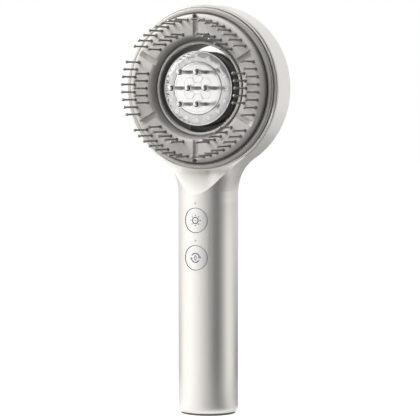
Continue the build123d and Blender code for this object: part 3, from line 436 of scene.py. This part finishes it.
def make_pads():
    """Six soft-edged pads. `near` are distances from a groove wall's foot, close where the wall rounds off."""
    near = [-GROOVE_FLOOR / 2, -0.6, -0.1, 0.06, 0.16, 0.24, 0.3, 0.35, 0.39, 0.42, 0.45, 0.5, 0.58, 0.7,
            1.0, 1.8]
    radii = [PAD_IN_R + 0.17 * i for i in range(17)]
    radii += [PAD_IN_R + 3.4 + 1.6 * i for i in range(5)]
    radii += [PAD_OUT_R - PAD_SHOULDER_R * (1 - math.sin(math.radians(7.5 * i))) for i in range(13)]
    bm = bmesh.new()
    for pad in range(6):
        rows = []
        for r in radii:
            edge = [math.degrees(math.asin((GROOVE_FLOOR / 2 + d) / r)) for d in near]
            angles = edge + [edge[-1] + (60 - 2 * edge[-1]) * i / 12 for i in range(1, 12)]
            angles += [60 - a for a in reversed(edge)]
            row = []
            for a in angles:
                left = r * math.sin(math.radians(a)) - GROOVE_FLOOR / 2
                right = r * math.sin(math.radians(60 - a)) - GROOVE_FLOOR / 2
                x, z = polar(r, 60 * pad + a)
                row.append((x, COMB_FLOOR_Y - pad_height(r, left, right), HEAD_Z + z))
            rows.append(row)
        made = grid(bm, rows)
        rim = made[0] + [row[-1] for row in made[1:]] + made[-1][-2::-1] + [row[0] for row in made[-2:0:-1]]
        low = [bm.verts.new((v.co.x, COMB_FLOOR_Y + 0.05, v.co.z)) for v in rim]
        for i in range(len(rim)):
            j = (i + 1) % len(rim)
            bm.faces.new((rim[i], rim[j], low[j], low[i]))
        bm.faces.new(low)
    piece("comb_pads_soft", bm, "pad_grey", "comb_ring", ["comb_pads"], sharp=40)


def make_bristles(name, row):
    """Each bristle has a flared knob in the pad, a slender shaft and a ball at its tip."""
    row_r, length, count, step = row
    tip = PAD_TOP_Y - length
    ball = [(BALL_R * math.sin(math.radians(a)), tip + BALL_R - BALL_R * math.cos(math.radians(a)))
            for a in (0, 25, 50, 75, 95, 115, 135, 147)]
    flare = ((SHAFT_R, 7.0), (0.52, 1.9), (0.58, 1.2), (0.72, 0.75), (0.85, 0.4), (0.92, -0.1), (0.0, -0.1))
    outline = [*ball, (SHAFT_R, tip + 1.75), *[(r, PAD_TOP_Y - height) for r, height in flare]]
    bm = bmesh.new()
    for pad in range(6):
        for i in range(count):
            x, z = polar(row_r, 60 * pad + 30 + (i - (count - 1) / 2) * step)
            turned(bm, outline, x, HEAD_Z + z, 14)
    return piece(name + "_soft", bm, "bristle", "comb_ring", [name], sharp=60)


def make_studs():
    """Short posts at the outer ends of the upright grooves, pale with a dark domed cap."""
    tip = COMB_FLOOR_Y - STUD_L
    outline = [(STUD_R * math.sin(math.radians(a)), tip + STUD_R - STUD_R * math.cos(math.radians(a)))
               for a in (0, 15, 30, 45, 60, 75, 90)]
    outline += [(STUD_R, tip + 1.5), (STUD_R - 0.2, tip + 1.7), (STUD_R - 0.2, COMB_FLOOR_Y + 0.05),
                (0.0, COMB_FLOOR_Y + 0.05)]
    bm = bmesh.new()
    for side in (1, -1):
        turned(bm, outline, 0.0, HEAD_Z + side * STUD_ROW_R, 24)
    studs = piece("studs_domed", bm, "bristle", "comb_ring", ["comb_studs"], material=MATERIALS["chip"],
                  sharp=50)
    studs.data.materials.append(MATERIALS["pad_grey"])
    for polygon in studs.data.polygons:
        if polygon.center.y > (tip + 1.65) * MM:
            polygon.material_index = 1


# ------------------------------------------------------------------ floating head

def shoulder(first, last):
    """Points down the rounded outer edge of the floating head, between two of its radii."""
    reach, drop = 3.15, 1.3
    radii = [first + (last - first) * i / 8 for i in range(9)]
    return [(r, LIGHT_RING_Y + drop * (1 - math.sqrt(max(0.0, 1 - (max(0.0, r - SHOULDER_R) / reach) ** 2))))
            for r in radii]


def make_trim():
    """Bright ring round the light ring, with a fine bead on it."""
    bm = bmesh.new()
    turned(bm, [(FRAME_IN_R, LED_FRONT_Y), *shoulder(FRAME_IN_R, MODULE_R), (MODULE_R, LED_FRONT_Y)])
    bead = [polar(0.26, 30 * i) for i in range(12)]
    turned(bm, [(MODULE_R - 0.3 + r, LIGHT_RING_Y + 0.5 + y) for r, y in bead])
    piece("rim_trim_polished", bm, "chrome", "floating_head", ["rim_trim"], material=TRIM_METAL)


def make_light_ring():
    """Flat, with a smooth shoulder at its outer edge and a shallow lens over each lamp."""
    inner = PLATE_R + 0.1
    outer = FRAME_IN_R - 0.03
    bm = bmesh.new()
    turned(bm, [(inner, LED_FRONT_Y), (inner, LIGHT_RING_Y + 0.25), (inner + 0.12, LIGHT_RING_Y + 0.06),
                (inner + 0.4, LIGHT_RING_Y), *shoulder(SHOULDER_R, outer), (outer, LED_FRONT_Y)])
    for face in bm.faces:       # the shoulder is polished where it faces the bristles of the left pads
        middle = face.calc_center_median()
        reach = math.hypot(middle.x, middle.z - HEAD_Z)
        face.material_index = int(reach > SHOULDER_R + 0.2 and middle.x < -5.0)
    ring = piece("light_ring_smooth", bm, "lens_plate", "floating_head", ["light_ring"])
    ring.data.materials.append(RING_EDGE)
    bm = bmesh.new()
    cap = ((0.0, -0.12), (0.5, -0.115), (0.9, -0.1), (1.15, -0.08), (1.28, -0.04), (1.35, 0.03), (1.37, 0.1),
           (0.0, 0.1))
    for i in range(16):
        x, z = polar(LENS_ROW_R, 22.5 * i)
        turned(bm, [(r, LIGHT_RING_Y + y) for r, y in cap], x, HEAD_Z + z, 32)
    piece("ring_lenses", bm, "lens_plate", "floating_head", material=LENS_CLEAR)


def make_contact_plate():
    """Polished plate with a bevelled edge, a fine turned line inside it and six engraved hexagons."""
    bm = bmesh.new()
    face = ((0.0, 0.0), (12.4, 0.0), (12.5, 0.12), (12.65, 0.12), (12.75, 0.0), (13.4, 0.0), (13.6, 0.03),
            (13.75, 0.12), (13.85, 0.25), (PLATE_R, 0.4))
    back = [(PLATE_R, PLATE_BACK_Y), (0.0, PLATE_BACK_Y)]
    turned(bm, [(r, PLATE_FRONT_Y + sunk) for r, sunk in face] + back)
    piece("contact_plate_polished", bm, "lens_plate", "floating_head", ["contact_plate"],
          material=PLATE_METAL)
    bm = bmesh.new()
    for i in range(6):
        x, z = polar(PIN_PITCH / math.sqrt(3), 60 * i)
        corner = HEXAGON_FLAT_R / math.cos(math.radians(30))
        rows = []
        for k in range(6):
            dx, dz = polar(1.0, 30 + 60 * k)
            row = []
            for w, rise in ((-0.16, -0.05), (-0.08, 0.05), (0.08, 0.05), (0.16, -0.05)):
                px, pz = x + dx * (corner + w), z + dz * (corner + w)
                row.append((px, PLATE_FRONT_Y - rise, HEAD_Z + pz))
            rows.append(row)
        grid(bm, rows + rows[:1])
    bmesh.ops.remove_doubles(bm, verts=bm.verts, dist=1e-5)
    piece("plate_hexagons", bm, "lens_plate", "floating_head", material=ETCHED_METAL)


def make_pins():
    """Domed plunger in a cupped collar at the end of each slender shaft."""
    tip, dome_r, rim_y = PIN_TIP_Y, 1.0, PIN_TIP_Y + 1.65
    floor_y = rim_y + 0.9
    outline = [(dome_r * math.sin(math.radians(a)), tip + dome_r - dome_r * math.cos(math.radians(a)))
               for a in (0, 12, 24, 36, 48, 60, 72, 84, 90)]
    outline += [(dome_r, floor_y), (1.42, floor_y), (1.42, rim_y + 0.08), (1.48, rim_y), (1.74, rim_y),
                (1.85, rim_y + 0.1), (1.88, rim_y + 0.6), (1.8, rim_y + 0.75), (1.08, rim_y + 1.7),
                (1.0, rim_y + 1.95), (1.0, PLATE_FRONT_Y - 0.3), (1.12, PLATE_FRONT_Y - 0.12),
                (1.2, PLATE_FRONT_Y + 0.1), (1.0, PLATE_FRONT_Y + 0.1), (1.0, PLATE_BACK_Y),
                (0.0, PLATE_BACK_Y)]
    bm = bmesh.new()
    for x, z in [(0.0, 0.0)] + [polar(PIN_PITCH, 30 + 60 * i) for i in range(6)]:
        turned(bm, outline, x, HEAD_Z + z, 32)
        for face in bm.faces[-32 * (len(outline) - 1):]:
            middle = face.calc_center_median()
            reach = math.hypot(middle.x - x, middle.z - HEAD_Z - z)
            if middle.y > floor_y + 0.05 and reach < 1.6:
                face.material_index = 1
            # The recess between each dome and its collar is black: painted shade in the gap.
            elif rim_y + 0.12 < middle.y < floor_y + 0.05 and 0.99 < reach < 1.46:
                face.material_index = 2
    pins = piece("contact_pins_turned", bm, "chrome", "floating_head", ["contact_pins"], sharp=50)
    pins.data.materials.append(SHAFT_METAL)
    pins.data.materials.append(MATERIALS["chip"])
    return pins


def make_bellows():
    """Folded sleeve between the floating head and the cup."""
    crests = [(CUP_R - 0.45 - 0.45 * math.cos(2 * math.pi * i / 10), FLANGE_BACK_Y + BELLOWS_PITCH * i / 10)
              for i in range(51)]
    inside = [(r - 0.8, y) for r, y in reversed(crests)]
    bm = bmesh.new()
    turned(bm, crests + inside, segments=128)
    sleeve = piece("bellows_sleeve", bm, "black_rubber", "housing", ["module_bellows"],
                   material=BELLOWS_RUBBER, sharp=60)
    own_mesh(sleeve)


def make_mounts():
    """Three waisted rubber buffers between floating head and cup."""
    tall = CUP_FLOOR_Y - CRADLE_BACK_Y
    outline = rounded((0.0, CRADLE_BACK_Y, 0.0), (MOUNT_R, CRADLE_BACK_Y, 0.2),
                      (MOUNT_R, CRADLE_BACK_Y + 0.25 * tall, 0.2),
                      (MOUNT_WAIST_R, CRADLE_BACK_Y + 0.5 * tall, 0.6),
                      (MOUNT_R, CUP_FLOOR_Y - 0.25 * tall, 0.2),
                      (MOUNT_R, CUP_FLOOR_Y, 0.2), (0.0, CUP_FLOOR_Y, 0.0))
    bm = bmesh.new()
    for i in range(3):
        x, z = polar(MOUNT_ROW_R, 120 * i)
        turned(bm, outline, x, HEAD_Z + z, 32)
    mounts = piece("mounts_waisted", bm, "mount_rubber", "housing", ["rubber_mounts"])
    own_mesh(mounts)


# ------------------------------------------------------------------ buttons

def button_front(x, rise):
    """Y of a button's face: the handle's own curve, sunk by `rise`."""
    return rise - math.sqrt(HANDLE_R ** 2 - x * x)


def dome_fall(reach):
    """How far a button's face has fallen at a distance from its middle."""
    return BUTTON_DOME * (reach / BUTTON_FACE_R) ** 2


def make_button(name, z):
    """Round key that follows the handle, with a softly domed face and a rounded edge."""
    rings = [(r, dome_fall(r)) for r in (0.0, 1.5, 3.0, 4.2, 5.2, 5.8, 6.1)]
    rings += [(6.25, 0.18), (6.36, 0.23), (6.44, 0.33), (6.48, 0.45), (BUTTON_R, 0.6)]
    bm = bmesh.new()
    sides = 96
    rows = []
    for r, rise in rings[1:]:
        row = []
        for i in range(sides):
            x, dz = polar(r, 360 * i / sides)
            row.append((x, button_front(x, rise), z + dz))
        rows.append(row)
    rows.append([(place[0], BUTTON_BACK_Y, place[2]) for place in rows[-1]])
    made = grid(bm, rows, closed=True)
    middle = bm.verts.new((0.0, button_front(0.0, rings[0][1]), z))
    for i in range(sides):
        bm.faces.new((middle, made[0][i], made[0][(i + 1) % sides]))
    bm.faces.new(made[-1])
    stem = rounded((0.0, BUTTON_BACK_Y - 0.1, 0.0), (STEM_R, BUTTON_BACK_Y - 0.1, 0.0),
                   (STEM_R, STEM_END_Y, 0.15), (0.0, STEM_END_Y, 0.0))
    turned(bm, stem, 0.0, z, 32)
    piece(name + "_button_domed", bm, "button_metal", name + "_key", [name + "_button"])


def stroke(bm, z, points, width, closed=False):
    """Flat inlaid line on a button's face, through (x, z) points from its middle."""
    rows = []
    count = len(points)
    for i, (x, dz) in enumerate(points):
        ahead = Vector(points[(i + 1) % count if closed else min(i + 1, count - 1)])
        behind = Vector(points[(i - 1) % count if closed else max(i - 1, 0)])
        side = (ahead - behind).normalized().orthogonal() * width / 2
        row = []
        for sx, sz in ((x - side.x, dz - side.y), (x + side.x, dz + side.y)):
            row.append((sx, button_front(sx, dome_fall(math.hypot(sx, sz)) - 0.02), z + sz))
        rows.append(row)
    grid(bm, rows + rows[:1] if closed else rows)
    bmesh.ops.remove_doubles(bm, verts=bm.verts, dist=1e-5)


def circle(cx, cz, r, start=0, end=360, count=24):
    """(x, z) points along a circle or an arc of it; a whole circle doesn't repeat its first point."""
    steps = range(count + (0 if end - start == 360 else 1))
    arms = [polar(r, start + (end - start) * i / count) for i in steps]
    return [(cx + x, cz + z) for x, z in arms]


def make_icons():
    """Line signs for light (a small sun) and for massage (two arrows round a drop)."""
    z = BUTTONS[0][1]
    bm = bmesh.new()
    stroke(bm, z, circle(0, 0, 1.65), 0.55, closed=True)
    stroke(bm, z, [(-0.5, 0.0), (0.5, 0.0)], 0.3)
    for i in range(8):
        x, dz = polar(2.7, 45 * i)
        stroke(bm, z, circle(x, dz, 0.17, count=10), 0.33, closed=True)
    piece("light_icon", bm, "button_metal", "light_key", material=ICON_INK)
    z = BUTTONS[1][1]
    bm = bmesh.new()
    stroke(bm, z, circle(0, 0, 2.4, -60, 78, 16), 0.55)
    stroke(bm, z, circle(0, 0, 2.4, 120, 258, 16), 0.55)
    for sign in (1, -1):
        arrow = [(1.7, 0.6), (2.4, -0.15), (3.1, 0.6)]
        stroke(bm, z, [(sign * x, sign * dz) for x, dz in arrow], 0.45)
    lens = [(0.55 * math.cos(math.radians(a)), 1.2 * math.sin(math.radians(a))) for a in range(0, 360, 20)]
    stroke(bm, z, lens, 0.36, closed=True)
    piece("massage_icon", bm, "button_metal", "massage_key", material=ICON_INK)


# ------------------------------------------------------------------ studio

def direction(turn, tilt):
    """Unit vector at `turn` degrees from the front towards +X and `tilt` degrees up."""
    a, e = math.radians(turn), math.radians(tilt)
    return Vector((math.sin(a) * math.cos(e), -math.cos(a) * math.cos(e), math.sin(e)))


def azimuth(tree, vector):
    """0 to 1 for a direction from -180 to 180 degrees, counted from the front towards +X, and its Z."""
    axes = tree.nodes.new("ShaderNodeSeparateXYZ")
    tree.links.new(vector, axes.inputs[0])
    front = math_node(tree, "MULTIPLY", axes.outputs["Y"], -1.0)
    angle = math_node(tree, "ARCTAN2", axes.outputs["X"], front)
    return math_node(tree, "ADD", math_node(tree, "MULTIPLY", angle, 0.5 / math.pi), 0.5), axes.outputs["Z"]


def seen_directly(tree):
    """1 for what the camera, mirrors and glass see, 0 for the light that falls on surfaces."""
    path = tree.nodes.new("ShaderNodeLightPath").outputs
    return math_node(tree, "MAXIMUM", path["Is Camera Ray"],
                     math_node(tree, "MAXIMUM", path["Is Glossy Ray"], path["Is Transmission Ray"]))


def make_world():
    """Plain white surroundings; the soft light comes mostly from the left front."""
    world = bpy.data.worlds.new("studio")
    bpy.context.scene.world = world
    world.use_nodes = True
    tree = world.node_tree
    output = tree.nodes["World Output"]
    light = tree.nodes["Background"]
    turn, up = azimuth(tree, tree.nodes.new("ShaderNodeTexCoord").outputs["Generated"])
    stops = ((-180, 0.5), (-90, 0.8), (-40, 0.85), (0, 0.6), (45, 0.28), (100, 0.2), (150, 0.3), (180, 0.5))
    level = ramp(tree, turn, [((a + 180) / 360, share) for a, share in stops], "EASE")
    mix = tree.nodes.new("ShaderNodeMix")
    mix.data_type = "RGBA"
    high = add(tree, "MapRange", From_Min=0.1, From_Max=0.9)
    tree.links.new(up, high.inputs[0])
    tree.links.new(high.outputs[0], mix.inputs[0])
    tree.links.new(level, mix.inputs[6])
    mix.inputs[7].default_value = (0.85, 0.85, 0.85, 1)
    tree.links.new(mix.outputs[2], light.inputs["Color"])
    light.inputs["Strength"].default_value = 1.0
    white = add(tree, "Background", Strength=1.0)
    white.inputs["Color"].default_value = (1, 1, 1, 1)
    chosen = tree.nodes.new("ShaderNodeMixShader")
    tree.links.new(seen_directly(tree), chosen.inputs[0])
    tree.links.new(light.outputs[0], chosen.inputs[1])
    tree.links.new(white.outputs[0], chosen.inputs[2])
    tree.links.new(chosen.outputs[0], output.inputs["Surface"])


def make_card(name, profile, stops, foot=1.0):
    """Curved leaning studio card, out of the camera's sight, through (radius, height) points round the
    object. Its brightness runs through (degrees, brightness) stops, with the share `foot` of it at the
    bottom."""
    bm = bmesh.new()
    first, last = stops[0][0], stops[-1][0]
    count = 40
    rows = []
    for i in range(count + 1):
        a = math.radians(first + (last - first) * i / count)
        rows.append([(r * math.sin(a), -r * math.cos(a), z) for r, z in profile])
    grid(bm, rows)
    mesh = bpy.data.meshes.new(name)
    bm.to_mesh(mesh)
    bm.free()
    mat = bpy.data.materials.new(name)
    mat.use_nodes = True
    tree = mat.node_tree
    tree.nodes.remove(tree.nodes["Principled BSDF"])
    turn, up = azimuth(tree, tree.nodes.new("ShaderNodeTexCoord").outputs["Object"])
    span = add(tree, "MapRange", From_Min=(first + 180) / 360, From_Max=(last + 180) / 360)
    tree.links.new(turn, span.inputs[0])
    glow = add(tree, "Emission")
    top = max(share for a, share in stops)
    shares = [((a - first) / (last - first), share / top) for a, share in stops]
    level = ramp(tree, span.outputs[0], shares, "EASE")
    tree.links.new(level, glow.inputs["Color"])
    rise = add(tree, "MapRange", From_Max=0.13, To_Min=foot * top, To_Max=top)
    tree.links.new(up, rise.inputs[0])
    tree.links.new(rise.outputs[0], glow.inputs["Strength"])
    tree.links.new(glow.outputs[0], tree.nodes["Material Output"].inputs["Surface"])
    mesh.materials.append(mat)
    card = bpy.data.objects.new(name, mesh)
    bpy.context.scene.collection.objects.link(card)
    card.visible_camera = False
    card.visible_transmission = False
    card.visible_diffuse = False
    card.visible_shadow = False


def make_lamp(name, turn, tilt, distance, size, power, only=()):
    """Square softbox aimed at the head from a direction in degrees. A lamp with `only` gives highlights, and
    nothing else, on those pieces."""
    away = direction(turn, tilt)
    data = bpy.data.lights.new(name, "AREA")
    data.shape = "SQUARE"
    data.size = size
    data.energy = power
    lamp = bpy.data.objects.new(name, data)
    bpy.context.scene.collection.objects.link(lamp)
    lamp.location = Vector((0.0, 0.0, HEAD_Z * MM)) + away * distance
    lamp.rotation_euler = away.to_track_quat("Z", "Y").to_euler()
    lamp.visible_glossy = bool(only)
    lamp.visible_diffuse = not only
    if only:
        receivers = bpy.data.collections.new(name + "_pieces")
        for obj in only:
            receivers.objects.link(obj)
        lamp.light_linking.receiver_collection = receivers


def make_floor():
    """Round white floor that shows as the background and keeps the object's shadow."""
    sides = 96
    bm = bmesh.new()
    corners = [polar(1.0, 360 * i / sides) for i in range(sides)]
    rows = [[(r * x, r * y, 0.0) for x, y in corners] for r in (0.02, 0.1, 0.3, 1.0, 4.0)]
    made = grid(bm, rows, closed=True)
    bm.faces.new(made[0])
    mesh = bpy.data.meshes.new("floor")
    bm.to_mesh(mesh)
    bm.free()
    mat = bpy.data.materials.new("floor_white")
    mat.use_nodes = True
    tree = mat.node_tree
    shader = tree.nodes["Principled BSDF"]
    grain = add(tree, "TexNoise", Scale=30.0)
    tree.links.new(tree.nodes.new("ShaderNodeTexCoord").outputs["Object"], grain.inputs["Vector"])
    tree.links.new(ramp(tree, grain.outputs[0], [(0.3, 0.3), (0.7, 0.32)]), shader.inputs["Base Color"])
    shader.inputs["Roughness"].default_value = 0.9
    shader.inputs["Specular IOR Level"].default_value = 0.0
    shader.inputs["Emission Color"].default_value = (1, 1, 1, 1)
    tree.links.new(math_node(tree, "MULTIPLY", seen_directly(tree), 0.82), shader.inputs["Emission Strength"])
    mesh.materials.append(mat)
    floor = bpy.data.objects.new("floor", mesh)
    bpy.context.scene.collection.objects.link(floor)


def make_camera():
    """The photo's point of view, in metres and degrees."""
    away = direction(25.5, 3.0)
    distance = 1.227
    aim = Vector((0.001, 0.0, 0.1086))
    data = bpy.data.cameras.new("photo_view")
    data.lens = 197.0
    data.sensor_width = 36.0
    data.clip_start = 0.02
    camera = bpy.data.objects.new("photo_view", data)
    bpy.context.scene.collection.objects.link(camera)
    camera.location = aim + away * distance
    camera.rotation_euler = (-away).to_track_quat("-Z", "Y").to_euler()
    bpy.context.scene.camera = camera


make_camera()
make_world()
LOW_CARD = ((0.1, 0.004), (0.55, 0.5))
make_card("card_right", LOW_CARD,
          ((-30, 1.25), (-12, 1.05), (5, 0.82), (22, 0.58), (36, 0.33), (44, 0.17), (58, 0.09), (70, 0.22),
           (86, 0.66), (101, 1.12), (120, 1.03), (135, 0.85)))
make_card("card_back", LOW_CARD, ((135, 0.98), (145, 1.0), (165, 0.97), (190, 0.95)), foot=0.3)
make_card("card_left_back", LOW_CARD, ((-160, 0.8), (-140, 0.82), (-115, 0.9), (-92, 1.05)), foot=0.6)
make_card("card_left", LOW_CARD, ((-92, 1.05), (-66, 1.32), (-42, 1.36), (-29, 1.25)))
make_card("flag_high", ((0.56, 0.5), (0.66, 1.6)), ((36, 0.9), (43, 0.03), (68, 0.03), (76, 0.9)))
make_card("card_floor", ((0.022, 0.002), (0.1, 0.003)),
          ((-160, 0.5), (-92, 1.0), (-66, 1.3), (-42, 1.36), (-12, 1.05), (22, 0.58), (36, 0.4), (44, 0.27),
           (58, 0.2), (70, 0.32), (86, 0.6), (101, 0.9), (120, 0.75), (140, 0.5), (190, 0.45)))
make_card("card_neck", ((0.03, 0.1133), (0.1, 0.1096)),
          ((62, 0.2), (78, 0.3), (96, 0.7), (120, 0.62), (150, 0.45), (190, 0.3)))
make_card("card_chin", ((0.105, 0.188), (0.12, 0.34)),
          ((-90, 2.5), (-50, 2.5), (-36, 2.0), (-23, 0.5), (-10, 0.2), (60, 0.2)))
make_card("flag_near", ((0.075, 0.15), (0.075, 0.28)), ((34, 0.015), (92, 0.015)))
make_lamp("softbox_left", -50, 45, 1.0, 0.6, 13.0)
make_floor()
make_comb_base()
make_pads()
make_bezel_edge()
outer_bristles = make_bristles("bristles_outer", OUTER_ROW)
inner_bristles = make_bristles("bristles_inner", INNER_ROW)
make_studs()
make_trim()
make_light_ring()
make_contact_plate()
pins = make_pins()
make_lamp("sparkle_left", -62, 22, 0.5, 0.05, 14.0, only=(outer_bristles, inner_bristles, pins))
make_bellows()
make_mounts()
for key, key_z in BUTTONS:
    make_button(key, key_z)
make_icons()

bpy.context.scene.view_settings.view_transform = "Standard"
